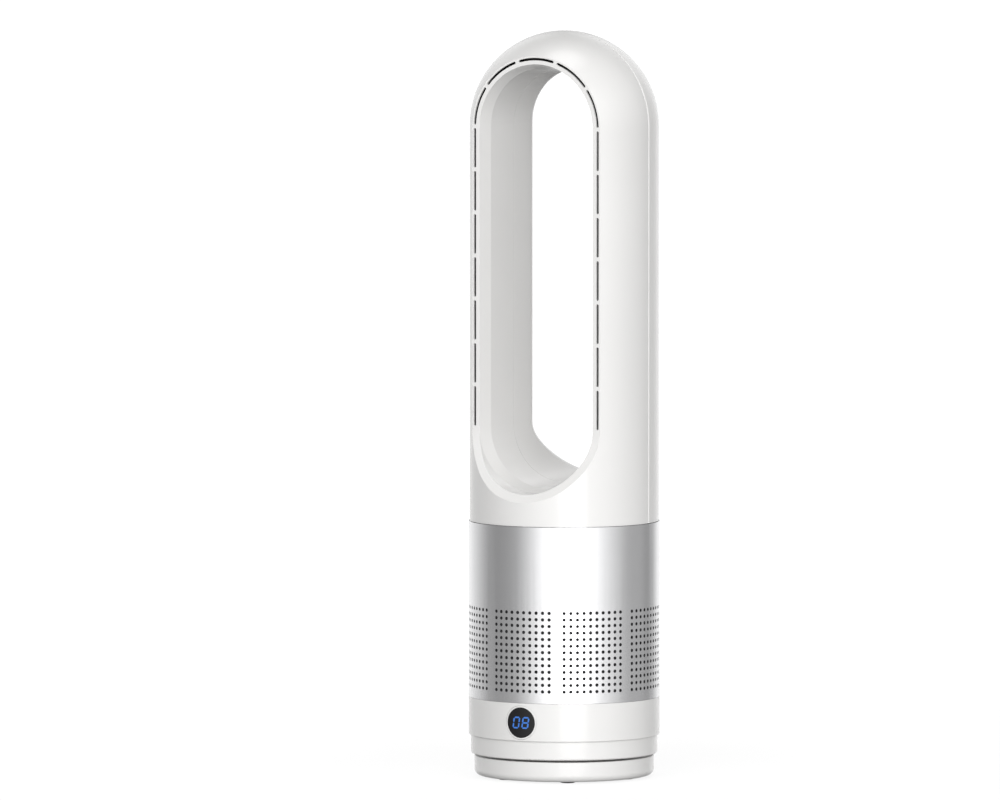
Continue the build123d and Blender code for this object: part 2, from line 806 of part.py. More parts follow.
with BuildPart() as drive_pinion:
    with BuildSketch(Plane.XY.offset(pinion_bottom)):
        with Locations((0, drive_offset)):
            Polygon(*gear_corners(pinion_teeth, 90 + 180 / pinion_teeth), align=None)
    extrude(amount=pinion_top - pinion_bottom)
    with BuildSketch(Plane.XY.offset(pinion_top)):
        with Locations((0, drive_offset)):
            Circle(collar_radius)
    extrude(amount=bracket_top - bracket_sheet - seat_gap - pinion_top)
    with BuildSketch(Plane.XY.offset(pinion_bottom)):
        with Locations((0, drive_offset)):
            Circle(drive_shaft_radius)
    extrude(amount=bracket_top + drive_shaft_reach - pinion_bottom)
drive_pinion.part.label = "drive_pinion"
export_step(drive_pinion.part, "parts/drive_pinion.step")

# ---- Control ring and display ---------------------------------------------------------
with BuildPart() as control_ring:
    add(turned((ledge_inner, ring_bottom), (body_radius, ring_bottom),
               (body_radius, ring_top), (body_radius - body_wall, ring_top),
               (body_radius - body_wall, deck_bottom),
               (deck_ledge_inner, deck_bottom),
               (deck_ledge_inner, deck_bottom - deck_ledge_edge),
               (body_radius - body_wall, deck_bottom - deck_ledge_height),
               (body_radius - body_wall, ring_bottom + ledge_thickness),
               (ledge_inner, ring_bottom + ledge_thickness)))
    fillet(control_ring.edges().filter_by(GeomType.CIRCLE)
           .filter_by(lambda e: abs(e.radius - body_radius) < 0.01), ring_edge_radius)
    with BuildSketch(Plane.XY.offset(ring_bottom)):
        with Locations(*ring_boss_places):
            Circle(screw_radius + fit_gap)
    extrude(amount=ledge_thickness, mode=Mode.SUBTRACT)
    with BuildSketch(Plane.XZ.offset(bezel_back - 2)):
        with Locations((0, display_height)):
            Circle(bezel_radius + fit_gap)
    extrude(amount=2 * body_wall + body_radius - bezel_back, mode=Mode.SUBTRACT)
control_ring.part.label = "control_ring"
export_step(control_ring.part, "parts/control_ring.step")

with BuildPart() as ring_screws:
    add(cross_screws(ring_boss_places, ring_bottom + ledge_thickness, ring_screw_length))
ring_screws.part.label = "ring_screws"
export_step(ring_screws.part, "parts/ring_screws.step")

lens_face = body_radius - lens_recess
lens_back = lens_face - lens_thickness


def bar(centre_x, centre_z, length, upright):
    """Corners of one pointed display bar, leaning with the digits."""
    half = length / 2
    point = digit_stroke / 2
    corners = [(-half, 0), (-half + point, point), (half - point, point),
               (half, 0), (half - point, -point), (-half + point, -point)]
    if upright:
        corners = [(v, u) for u, v in corners]
    lean = tan(radians(digit_lean))
    return [(centre_x + u + (centre_z + v) * lean, centre_z + v + display_height)
            for u, v in corners]


def digit_bars(centre_x, middle):
    """The bars of a nought, or of an eight when the middle bar is lit."""
    across = digit_width - digit_stroke - 2 * digit_gap
    high = (digit_height - digit_stroke) / 2
    tall = high - 2 * digit_gap
    half = digit_width / 2 - digit_stroke / 2
    bars = [bar(centre_x, high, across, False), bar(centre_x, -high, across, False)]
    for side in (-half, half):
        bars.append(bar(centre_x + side, high / 2, tall, True))
        bars.append(bar(centre_x + side, -high / 2, tall, True))
    if middle:
        bars.append(bar(centre_x, 0, across, False))
    return bars


lit_bars = digit_bars(-digit_pitch / 2, False) + digit_bars(digit_pitch / 2, True)

with BuildPart() as display_bezel:
    add(front_patch(bezel_radius, body_radius, bezel_back))
    fillet(display_bezel.edges().sort_by(Axis.Y)[0], 0.5)
    add(front_patch(lens_radius + seat_gap, body_radius + 1, lens_back - running_gap),
        mode=Mode.SUBTRACT)
    add(front_patch(window_radius, body_radius, bezel_back - 1), mode=Mode.SUBTRACT)
display_bezel.part.label = "display_bezel"
export_step(display_bezel.part, "parts/display_bezel.step")

with BuildPart() as display_lens:
    add(front_patch(lens_radius, lens_face, lens_back))
    with BuildSketch(Plane.XZ.offset(lens_face - digit_depth)):
        for corners in lit_bars:
            Polygon(*corners, align=None)
    extrude(amount=digit_depth + 1, mode=Mode.SUBTRACT)
display_lens.part.label = "display_lens"
export_step(display_lens.part, "parts/display_lens.step")

with BuildPart() as display_digits:
    with BuildSketch(Plane.XZ.offset(lens_face - digit_depth)):
        for corners in lit_bars:
            Polygon(*corners, align=None)
    extrude(amount=digit_depth + 1)
    add(disc(lens_face, display_height - lens_radius, display_height + lens_radius),
        mode=Mode.INTERSECT)
display_digits.part.label = "display_digits"
export_step(display_digits.part, "parts/display_digits.step")

with BuildPart() as led_block:
    with BuildSketch(Plane.XZ.offset(board_face)):
        with Locations((0, display_height)):
            Rectangle(led_width, led_height)
    extrude(amount=sqrt(lens_back ** 2 - (led_width / 2) ** 2) - led_gap - board_face)
led_block.part.label = "led_block"
export_step(led_block.part, "parts/led_block.step")

with BuildPart() as display_board:
    with BuildSketch(Plane.XZ.offset(board_face - board_thickness)):
        with Locations((0, display_height)):
            Rectangle(display_board_width, display_board_height)
        with Locations(*display_screw_places):
            Circle(screw_radius + fit_gap, mode=Mode.SUBTRACT)
    extrude(amount=board_thickness)
display_board.part.label = "display_board"
export_step(display_board.part, "parts/display_board.step")

with BuildPart() as ir_receiver:
    with BuildSketch(Plane.XZ.offset(board_face)):
        with Locations((receiver_offset, display_height)):
            Rectangle(receiver_width, receiver_height)
    extrude(amount=receiver_width / 2)
    with BuildSketch(Plane.XZ.offset(board_face + receiver_width / 2)):
        with Locations((receiver_offset, display_height)):
            Circle(receiver_lens_radius)
    extrude(amount=receiver_lens_height)
ir_receiver.part.label = "ir_receiver"
export_step(ir_receiver.part, "parts/ir_receiver.step")

with BuildPart() as board_carrier:
    with BuildSketch(Plane.XY.offset(ring_bottom + ledge_thickness)):
        with Locations((0, -carrier_centre)):
            Rectangle(display_board_width, carrier_depth)
    extrude(amount=2)
    with BuildSketch(Plane.XY.offset(ring_bottom + ledge_thickness)):
        for x, z in display_screw_places:
            with Locations((x, -(board_face - board_thickness - carrier_post / 2))):
                Rectangle(carrier_post, carrier_post)
    extrude(amount=display_height + display_board_height / 2 - ring_bottom - ledge_thickness)
    with BuildSketch(Plane.XZ.offset(board_face - board_thickness)):
        with Locations(*display_screw_places):
            Circle(screw_radius)
    extrude(amount=-carrier_post + 1, mode=Mode.SUBTRACT)
board_carrier.part.label = "board_carrier"
export_step(board_carrier.part, "parts/board_carrier.step")

with BuildPart() as main_board:
    with BuildSketch(Plane.XY.offset(board_height)):
        with Locations((0, main_board_centre)):
            Rectangle(main_board_width, main_board_depth)
        with Locations(*board_places):
            Circle(screw_radius + fit_gap, mode=Mode.SUBTRACT)
    extrude(amount=board_thickness)
main_board.part.label = "main_board"
export_step(main_board.part, "parts/main_board.step")

with BuildPart() as board_screws:
    add(cross_screws(board_places, board_height + board_thickness, board_screw_length))
    with BuildSketch(Plane.XZ.offset(board_face)):
        with Locations(*display_screw_places):
            Circle(screw_radius)
    extrude(amount=-board_thickness - carrier_post + 1 + screw_end_gap)
    with BuildSketch(Plane.XZ.offset(board_face)):
        with Locations(*display_screw_places):
            Circle(screw_head_radius)
    extrude(amount=screw_head_height)
board_screws.part.label = "board_screws"
export_step(board_screws.part, "parts/board_screws.step")

with BuildPart() as board_components:
    with BuildSketch(Plane.XY.offset(board_height + board_thickness)):
        with Locations((-0.8 * transformer_size, main_board_centre)):
            RectangleRounded(transformer_size, 0.9 * transformer_size, 1)
    extrude(amount=transformer_height)
    with BuildSketch(Plane.XY.offset(board_height + board_thickness)):
        with Locations((capacitor_radius, main_board_centre - 1.6 * capacitor_radius),
                       (capacitor_radius, main_board_centre + capacitor_radius)):
            Circle(capacitor_radius)
    extrude(amount=capacitor_height)
    with BuildSketch(Plane.XY.offset(board_height + board_thickness)):
        with Locations((2 * heat_sink_width, main_board_centre)):
            Rectangle(heat_sink_width, heat_sink_length)
        with Locations((0, lead_end)):
            Rectangle(connector_width, connector_depth)
    extrude(amount=connector_height)
board_components.part.label = "board_components"
export_step(board_components.part, "parts/board_components.step")

with BuildPart() as supply_lead:
    with BuildLine():
        FilletPolyline((0, 0, post_top + 0.5), (0, 0, lead_top), (0, lead_end, lead_top),
                       (0, lead_end, board_height + board_thickness + connector_height),
                       radius=3 * lead_radius)
    with BuildSketch(Plane.XY.offset(post_top + 0.5)):
        Circle(lead_radius)
    sweep()
supply_lead.part.label = "supply_lead"
export_step(supply_lead.part, "parts/supply_lead.step")

# ---- Intake: deck, frame, filter and sleeve -------------------------------------------
with BuildPart() as base_deck:
    add(disc(deck_radius, deck_bottom, deck_top))
    with BuildSketch(Plane.XY.offset(deck_bottom)):
        with Locations(*deck_screw_places):
            Circle(screw_radius + fit_gap)
        Circle(cable_hole_radius)
    extrude(amount=deck_thickness, mode=Mode.SUBTRACT)
base_deck.part.label = "base_deck"
export_step(base_deck.part, "parts/base_deck.step")

with BuildPart() as inner_frame:
    add(tube(frame_inner, deck_radius, deck_top, deck_top + frame_ring_thickness))
    for height in (mid_ring_height, top_ring_height):
        add(tube(frame_inner, frame_outer, height, height + frame_ring_thickness))
    add(tube(frame_inner, frame_inner + 3, deck_top, deck_top + 2 * frame_ring_thickness))
    with BuildSketch(Plane.XY.offset(deck_top)):
        with PolarLocations((column_inner + column_outer) / 2, column_count, 45):
            RectangleRounded(column_outer - column_inner, column_width, column_edge_radius)
    extrude(amount=top_ring_height - deck_top + 1)
    with BuildSketch(Plane.XY.offset(deck_top)):
        with Locations(*deck_screw_places):
            Circle(screw_radius)
    extrude(amount=frame_ring_thickness, mode=Mode.SUBTRACT)
inner_frame.part.label = "inner_frame"
export_step(inner_frame.part, "parts/inner_frame.step")

with BuildPart() as deck_screws:
    with BuildSketch(Plane.XY.offset(deck_bottom)):
        with Locations(*deck_screw_places):
            Circle(screw_radius)
    extrude(amount=deck_thickness + frame_ring_thickness - screw_end_gap)
    with BuildSketch(Plane.XY.offset(deck_bottom)):
        with Locations(*deck_screw_places):
            Circle(screw_head_radius)
    extrude(amount=-screw_head_height)
deck_screws.part.label = "deck_screws"
export_step(deck_screws.part, "parts/deck_screws.step")

with BuildPart() as intake_filter:
    add(tube(column_outer + filter_gap, frame_outer, deck_top + frame_ring_thickness,
             mid_ring_height))
intake_filter.part.label = "intake_filter"
export_step(intake_filter.part, "parts/intake_filter.step")

with BuildPart() as hole_column:
    with BuildSketch(Plane.XZ.offset(body_radius - 2 * sleeve_wall)):
        with Locations(*[(0, hole_bottom + k * hole_row_pitch) for k in range(hole_rows)]):
            Circle(hole_diameter / 2)
    extrude(amount=3 * sleeve_wall)

hole_span = hole_column_angle * (hole_columns - 1)
hole_angles = [360 * group / hole_groups - hole_span / 2 + column * hole_column_angle
               for group in range(hole_groups) for column in range(hole_columns)]

with BuildPart() as intake_sleeve:
    add(tube(body_radius - sleeve_wall, body_radius, sleeve_bottom, sleeve_top))
    add([hole_column.part.rotate(Axis.Z, angle) for angle in hole_angles],
        mode=Mode.SUBTRACT)
intake_sleeve.part.label = "intake_sleeve"
export_step(intake_sleeve.part, "parts/intake_sleeve.step", write_pcurves=False)

# ---- Blower ---------------------------------------------------------------------------
plate_radius = column_inner - fit_gap

with BuildPart() as blower_gasket:
    add(tube(frame_inner, plate_radius, mid_top, bell_bottom))
blower_gasket.part.label = "blower_gasket"
export_step(blower_gasket.part, "parts/blower_gasket.step")

with BuildPart() as bellmouth:
    with BuildSketch(Plane.XZ):
        with BuildLine():
            Polyline((eye_radius + bell_curve, bell_bottom), (plate_radius, bell_bottom),
                     (plate_radius, bell_top), (eye_radius + bell_curve, bell_top))
            CenterArc((eye_radius + bell_curve, bell_top + bell_curve - housing_wall),
                      bell_curve - housing_wall, 270, -90)
            Line((eye_radius + housing_wall, bell_top + bell_curve - housing_wall),
                 (eye_radius, bell_top + bell_curve - housing_wall))
            CenterArc((eye_radius + bell_curve, bell_top + bell_curve - housing_wall),
                      bell_curve, 180, 90)
        make_face()
    revolve(axis=Axis.Z)
bellmouth.part.label = "bellmouth"
export_step(bellmouth.part, "parts/bellmouth.step")

with BuildPart() as impeller_housing:
    add(turned((housing_foot, bell_top), (housing_foot + flange_width, bell_top),
               (housing_foot + flange_width, bell_top + housing_wall),
               (housing_foot + housing_wall, bell_top + housing_wall),
               (housing_foot + housing_wall, wheel_bottom),
               (duct_radius + housing_wall, wheel_top),
               (duct_radius + housing_wall, cup_bottom - housing_wall),
               (duct_radius + flange_width, cup_bottom - housing_wall),
               (duct_radius + flange_width, cup_bottom),
               (duct_radius, cup_bottom), (duct_radius, wheel_top),
               (housing_foot, wheel_bottom)))
impeller_housing.part.label = "impeller_housing"
export_step(impeller_housing.part, "parts/impeller_housing.step")

def blade_line(side):
    """Points along one face of a swept blade, side +1 or -1 of its middle."""
    points = []
    for k in range(5):
        radius = blade_root + (duct_radius - blade_root) * k / 4
        angle = radians(blade_sweep) * k / 4 + side * blade_thickness / (2 * radius)
        points.append((radius * cos(angle), radius * sin(angle)))
    return points


# The blades fill the space between the hub cone and the housing, less the running gap.
with BuildPart() as impeller:
    with BuildSketch(Plane.XY.offset(wheel_bottom)):
        with BuildLine():
            leading = Spline(*blade_line(1))
            trailing = Spline(*blade_line(-1))
            Line(leading @ 0, trailing @ 0)
            Line(leading @ 1, trailing @ 1)
        make_face()
    extrude(amount=wheel_height)
    add([impeller.part.rotate(Axis.Z, 360 * k / blade_count) for k in range(1, blade_count)])
    add(turned((0, wheel_bottom), (housing_foot - blade_gap, wheel_bottom),
               (duct_radius - blade_gap, wheel_top), (0, wheel_top)), mode=Mode.INTERSECT)
    add(turned((0, wheel_bottom), (hub_nose, wheel_bottom), (hub_radius, wheel_top - 2),
               (hub_radius, wheel_top), (0, wheel_top)))
    with BuildSketch(Plane.XY.offset(wheel_bottom)):
        Circle(shaft_radius)
    extrude(amount=wheel_height, mode=Mode.SUBTRACT)
impeller.part.label = "impeller"
export_step(impeller.part, "parts/impeller.step")

cup_floor = cup_bottom + cup_wall
lower_bearing = cup_floor - 0.5
upper_bearing = cup_top - bearing_height + 2.0
coil_bottom = cup_floor + coil_clearance
coil_top = coil_bottom + core_height
pole_tip = rotor_radius + air_gap

with BuildPart() as motor_shaft:
    add(disc(shaft_radius, wheel_bottom - nut_height, upper_bearing + bearing_height + 1))
motor_shaft.part.label = "motor_shaft"
export_step(motor_shaft.part, "parts/motor_shaft.step")

with BuildPart() as impeller_nut:
    add(turned((shaft_radius, wheel_bottom - nut_height), (shaft_radius + 1, wheel_bottom - nut_height),
               (hub_nose - 3, wheel_bottom - 4), (hub_nose - 1, wheel_bottom),
               (shaft_radius, wheel_bottom)))
impeller_nut.part.label = "impeller_nut"
export_step(impeller_nut.part, "parts/impeller_nut.step")

with BuildPart() as rotor_magnet:
    add(tube(shaft_radius, rotor_radius, coil_bottom, coil_top))
rotor_magnet.part.label = "rotor_magnet"
export_step(rotor_magnet.part, "parts/rotor_magnet.step")

with BuildPart() as motor_bearings:
    for height in (lower_bearing, upper_bearing):
        add(tube(shaft_radius + running_gap, bearing_radius, height, height + bearing_height))
motor_bearings.part.label = "motor_bearings"
export_step(motor_bearings.part, "parts/motor_bearings.step")

with BuildPart() as diffuser:
    with BuildSketch(Plane.XY.offset(cup_floor)):
        with PolarLocations((cup_radius + duct_radius) / 2, vane_count):
            Rectangle(duct_radius, vane_thickness, rotation=vane_angle)
    extrude(amount=cup_top - cup_floor - 2)
    add(tube(cup_radius - 1, duct_radius + 1, cup_floor, cup_top), mode=Mode.INTERSECT)
    add(tube(duct_radius, duct_radius + housing_wall, cup_bottom, duct_top))
    add(tube(duct_radius, duct_radius + flange_width, cup_bottom, cup_bottom + housing_wall))
    add(tube(duct_radius, hanger_radius, hanger_height, hanger_height + housing_wall))
    add(turned((bearing_radius - 2, cup_bottom), (cup_radius, cup_bottom),
               (cup_radius, cup_top), (cup_radius - cup_wall, cup_top),
               (cup_radius - cup_wall, cup_floor), (bearing_radius + bearing_seat_wall, cup_floor),
               (bearing_radius + bearing_seat_wall, lower_bearing + bearing_height),
               (bearing_radius, lower_bearing + bearing_height),
               (bearing_radius, lower_bearing), (bearing_radius - 2, lower_bearing)))
diffuser.part.label = "diffuser"
export_step(diffuser.part, "parts/diffuser.step")

with BuildPart() as motor_stator:
    with BuildSketch(Plane.XY.offset(coil_bottom)):
        Circle(cup_radius - cup_wall - seat_gap)
        Circle(yoke_radius, mode=Mode.SUBTRACT)
        with PolarLocations((pole_tip + yoke_radius + 1) / 2, pole_count):
            Rectangle(yoke_radius + 1 - pole_tip, pole_width)
    extrude(amount=core_height)
motor_stator.part.label = "motor_stator"
export_step(motor_stator.part, "parts/motor_stator.step")

with BuildPart() as motor_windings:
    with BuildSketch(Plane.XY.offset(coil_bottom - coil_overhang)):
        with PolarLocations((coil_inner + coil_outer) / 2, pole_count):
            RectangleRounded(coil_outer - coil_inner, coil_width, coil_edge_radius)
    extrude(amount=core_height + 2 * coil_overhang)
    with BuildSketch(Plane.XY.offset(coil_bottom - fit_gap)):
        with PolarLocations((coil_inner + coil_outer) / 2, pole_count):
            Rectangle(coil_outer - coil_inner + 2, pole_width + 2 * fit_gap)
    extrude(amount=core_height + 2 * fit_gap, mode=Mode.SUBTRACT)
motor_windings.part.label = "motor_windings"
export_step(motor_windings.part, "parts/motor_windings.step")

with BuildPart() as motor_cover:
    add(turned((bearing_radius, upper_bearing), (bearing_radius + bearing_seat_wall, upper_bearing),
               (bearing_radius + bearing_seat_wall, cup_top), (cup_radius, cup_top),
               (cup_radius, cup_top + cup_wall), (dome_radius, dome_top), (0, dome_top),
               (0, dome_top - dome_wall), (dome_radius - dome_wall / 2, dome_top - dome_wall),
               (cup_radius - 2 * cup_wall, cup_top + cup_wall), (bearing_radius, cup_top + cup_wall)))
motor_cover.part.label = "motor_cover"
export_step(motor_cover.part, "parts/motor_cover.step")

with BuildPart() as vibration_mounts:
    add(pins(mount_radius, top_ring_height + frame_ring_thickness, hanger_height,
             around(mount_circle, column_count)))
vibration_mounts.part.label = "vibration_mounts"
export_step(vibration_mounts.part, "parts/vibration_mounts.step")

with BuildPart() as duct_seal:
    add(tube(duct_radius - 0.5, duct_radius + housing_wall + 2, duct_top,
             loop_base - fit_gap))
duct_seal.part.label = "duct_seal"
export_step(duct_seal.part, "parts/duct_seal.step")

# ---- Air loop -------------------------------------------------------------------------
neck_top = loop_base + neck_thickness

with BuildPart() as loop_neck:
    add(tube(neck_opening, loop_radius - loop_wall - fit_gap, loop_base, neck_top))
    add(tube(collar_inner, collar_outer,
             top_ring_height + frame_ring_thickness + fit_gap, loop_base))
    with BuildSketch(Plane.XY.offset(loop_base)):
        with Locations(*neck_screw_places):
            Circle(screw_radius + fit_gap)
    extrude(amount=neck_thickness, mode=Mode.SUBTRACT)
loop_neck.part.label = "loop_neck"
export_step(loop_neck.part, "parts/loop_neck.step")

with BuildPart() as neck_screws:
    with BuildSketch(Plane.XY.offset(loop_base)):
        with Locations(*neck_screw_places):
            Circle(screw_radius)
    extrude(amount=neck_thickness + neck_boss_height - 3)
    with BuildSketch(Plane.XY.offset(loop_base)):
        with Locations(*neck_screw_places):
            Circle(neck_head_radius)
    extrude(amount=-screw_head_height)
neck_screws.part.label = "neck_screws"
export_step(neck_screws.part, "parts/neck_screws.step")

rim_half_width = sqrt(loop_radius ** 2 - rim_depth ** 2)
reach = 1.25 * loop_radius     # how far the cutting shapes go


def opening(inset):
    """The space through the loop, widened by inset: flared front, tapering to the back."""
    taper = (waist_half_width - throat_half_width) / (waist_depth + throat_depth)
    tail = throat_half_width + taper * (reach + throat_depth)
    outline = [(0, -reach), (lip_half_width + inset, -reach),
               (lip_half_width + inset, -rim_depth),
               (throat_half_width + inset, -throat_depth), (tail + inset, reach), (0, reach)]
    with BuildPart() as space:
        with BuildSketch(Plane.XY.offset(sill_height)):
            with BuildLine():
                Polyline(*outline, close=True)
            make_face()
            mirror(about=Plane.YZ)
        extrude(amount=arch_height - sill_height)
        with BuildSketch(Plane.XY.offset(arch_height)):
            with BuildLine():
                Polyline(*outline, close=True)
            make_face()
        revolve(axis=Axis((0, 0, arch_height), (0, -1, 0)), revolution_arc=180)
        with BuildSketch(Plane.XY.offset(sill_height)):
            with BuildLine():
                Polyline(*outline, close=True)
            make_face()
        revolve(axis=Axis((0, 0, sill_height), (0, 1, 0)), revolution_arc=180)
    return space.part


def rim_recess(inset):
    """What is cut away ahead of the rim: flat beside the opening, sweeping out below."""
    depth = rim_depth - inset
    drop = rim_half_width + inset + 3
    sweep_line = []
    for k in range(sweep_steps + 1):
        fall = drop * k / sweep_steps
        sweep_line.append((-sqrt(depth ** 2 + fall ** 2), sill_height - fall))
    with BuildPart() as space:
        with BuildSketch(Plane.YZ):
            with BuildLine():
                lower = Spline(*sweep_line, tangents=[(0, -1), (-drop, -reach)])
                Polyline(lower @ 1, (-reach - 5, sill_height - drop),
                         (-reach - 5, arch_height + reach), (-depth, arch_height + reach),
                         lower @ 0)
            make_face()
        extrude(amount=reach, both=True)
    return space.part


def loop_form(inset, bottom):
    """The loop as a solid, its faces moved inwards by inset."""
    radius = loop_radius - inset
    with BuildPart() as form:
        with BuildSketch(Plane.XZ):
            with BuildLine():
                Polyline((0, arch_height + radius), (0, bottom), (radius, bottom),
                         (radius, arch_height))
                CenterArc((0, arch_height), radius, 0, 90)
            make_face()
        revolve(axis=Axis.Z)
        add(opening(inset), mode=Mode.SUBTRACT)
        trailing = form.edges().filter_by(
            lambda e: e.bounding_box().min.Y > 0 and e.bounding_box().min.Z > bottom + 1)
        fillet(trailing, trailing_radius - inset)
        add(rim_recess(inset), mode=Mode.SUBTRACT)
    return form.part


def arch_band(inner, outer, back, length):
    """A band along the opening's sides and arch, from a depth behind the rim forward."""
    middle = (arch_height + sill_height) / 2
    with BuildPart() as band:
        with BuildSketch(Plane.XZ.offset(back)):
            with Locations((0, arch_height)):
                Circle(outer)
            with Locations((0, middle)):
                Rectangle(2 * outer, arch_height - sill_height)
            with Locations((0, arch_height)):
                Circle(inner, mode=Mode.SUBTRACT)
            with Locations((0, middle)):
                Rectangle(2 * inner, arch_height - sill_height, mode=Mode.SUBTRACT)
        extrude(amount=length)
    return band.part


loop_outer = loop_form(0, loop_base)
loop_inner = loop_form(loop_wall, loop_base - 5)
slot_pitch = (arch_height - sill_height) / side_slots
slot_angle = 180 / arch_slots
slot_arc = slot_angle - degrees((slot_bridge + slot_width) / slot_path_half_width)


def on_outer_seam(edge):
    """True for the edges where a shell's outside meets the seam plane."""
    middle = edge @ 0.5
    out = sqrt(middle.X ** 2 + max(middle.Z - arch_height, 0) ** 2)
    flat = edge.bounding_box().size.Y < 0.01
    at_seam = abs(abs(middle.Y) - seam_gap / 2) < 0.01
    return flat and at_seam and abs(out - loop_radius) < 0.1


neck_bosses = pins(neck_boss_radius, neck_top + fit_gap, neck_top + neck_boss_height,
                   neck_screw_places)
neck_holes = pins(screw_radius, neck_top, neck_top + neck_boss_height - 2, neck_screw_places)

with BuildPart() as front_shell:
    add(loop_outer)
    add(loop_inner, mode=Mode.SUBTRACT)
    add(neck_bosses)
    add(neck_holes, mode=Mode.SUBTRACT)
    split(bisect_by=Plane.XZ.offset(seam_gap / 2), keep=Keep.TOP)
    fillet(front_shell.edges().filter_by(on_outer_seam), seam_radius)
    with BuildSketch(Plane.XZ.offset(rim_depth - loop_wall - 2)):
        for k in range(side_slots):
            middle = sill_height + (k + 0.5) * slot_pitch
            with Locations((-slot_path_half_width, middle), (slot_path_half_width, middle)):
                SlotOverall(slot_pitch - slot_bridge, slot_width, rotation=90)
        for k in range(arch_slots):
            start = (k + 0.5) * slot_angle - slot_arc / 2
            SlotArc(Edge.make_circle(slot_path_half_width, Plane((0, arch_height, 0)),
                                     start, start + slot_arc), slot_width)
    extrude(amount=loop_wall + 4, mode=Mode.SUBTRACT)
front_shell.part.label = "front_shell"
export_step(front_shell.part, "parts/front_shell.step")

with BuildPart() as rear_shell:
    add(loop_outer)
    add(loop_inner, mode=Mode.SUBTRACT)
    add(neck_bosses)
    add(neck_holes, mode=Mode.SUBTRACT)
    split(bisect_by=Plane.XZ.offset(-seam_gap / 2), keep=Keep.BOTTOM)
    fillet(rear_shell.edges().filter_by(on_outer_seam), seam_radius)
rear_shell.part.label = "rear_shell"
export_step(rear_shell.part, "parts/rear_shell.step")

with BuildPart() as nozzle_liner:
    rail_inner = slot_path_half_width - slot_width / 2 - liner_gap
    rail_outer = slot_path_half_width + slot_width / 2 + liner_gap
    back = rim_depth - loop_wall - liner_length
    add(arch_band(rail_inner - liner_wall, rail_inner, back, liner_length - seat_gap))
    add(arch_band(rail_outer, rail_outer + liner_wall, back, liner_length - liner_setback))
    for k in range(side_slots + 1):
        height = sill_height + k * slot_pitch
        with BuildSketch(Plane.XZ.offset(back)):
            with Locations((-slot_path_half_width, height), (slot_path_half_width, height)):
                Rectangle(rail_outer - rail_inner + liner_wall, liner_wall,
                          align=(Align.CENTER, Align.MIN if k == 0 else Align.CENTER))
        extrude(amount=liner_length - liner_setback - 2)
    for k in range(1, arch_slots):
        with BuildSketch(Plane.XZ.offset(back)):
            with Locations((0, arch_height)):
                with PolarLocations(slot_path_half_width, 1, k * slot_angle):
                    Rectangle(rail_outer - rail_inner + liner_wall, liner_wall)
        extrude(amount=liner_length - liner_setback - 2)
nozzle_liner.part.label = "nozzle_liner"
export_step(nozzle_liner.part, "parts/nozzle_liner.step")
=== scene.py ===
import json
import math

import bmesh
import bpy
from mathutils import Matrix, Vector

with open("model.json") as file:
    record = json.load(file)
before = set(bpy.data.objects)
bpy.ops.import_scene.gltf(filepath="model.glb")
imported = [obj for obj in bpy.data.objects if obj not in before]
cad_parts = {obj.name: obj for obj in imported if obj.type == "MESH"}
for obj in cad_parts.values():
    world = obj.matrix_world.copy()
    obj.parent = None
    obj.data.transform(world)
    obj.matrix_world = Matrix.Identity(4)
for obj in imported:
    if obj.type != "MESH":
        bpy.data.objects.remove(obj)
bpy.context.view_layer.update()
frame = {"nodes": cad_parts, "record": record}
nodes = frame["nodes"]
scene = bpy.context.scene

# ---------------------------------------------------------------- camera
CAMERA_AZIMUTH = math.radians(27.3)
CAMERA_ELEVATION = math.radians(4.15)
CAMERA_DISTANCE = 16.0
SENSOR_WIDTH = 36.0            # millimetres
FRAME_WIDTH = 1.1              # metres across the picture at the object
AXIS_RIGHT_OF_CENTRE = 0.0707  # metres, of the fan's axis in the picture
AIM_HEIGHT = 0.4152

camera_back = Vector((math.sin(CAMERA_AZIMUTH) * math.cos(CAMERA_ELEVATION),
                      -math.cos(CAMERA_AZIMUTH) * math.cos(CAMERA_ELEVATION),
                      math.sin(CAMERA_ELEVATION)))
camera_right = Vector((math.cos(CAMERA_AZIMUTH), math.sin(CAMERA_AZIMUTH), 0))
aim = Vector((0, 0, AIM_HEIGHT)) - camera_right * AXIS_RIGHT_OF_CENTRE

camera_data = bpy.data.cameras.new("camera")
camera_data.sensor_width = SENSOR_WIDTH
camera_data.lens = SENSOR_WIDTH * CAMERA_DISTANCE / FRAME_WIDTH
camera_data.clip_end = 100
camera = bpy.data.objects.new("camera", camera_data)
scene.collection.objects.link(camera)
camera.location = aim + camera_back * CAMERA_DISTANCE
camera.rotation_mode = "QUATERNION"
camera.rotation_quaternion = (-camera_back).to_track_quat("-Z", "Y")
scene.camera = camera
scene.view_settings.view_transform = "Standard"
scene.cycles.caustics_reflective = False
scene.cycles.blur_glossy = 1.0


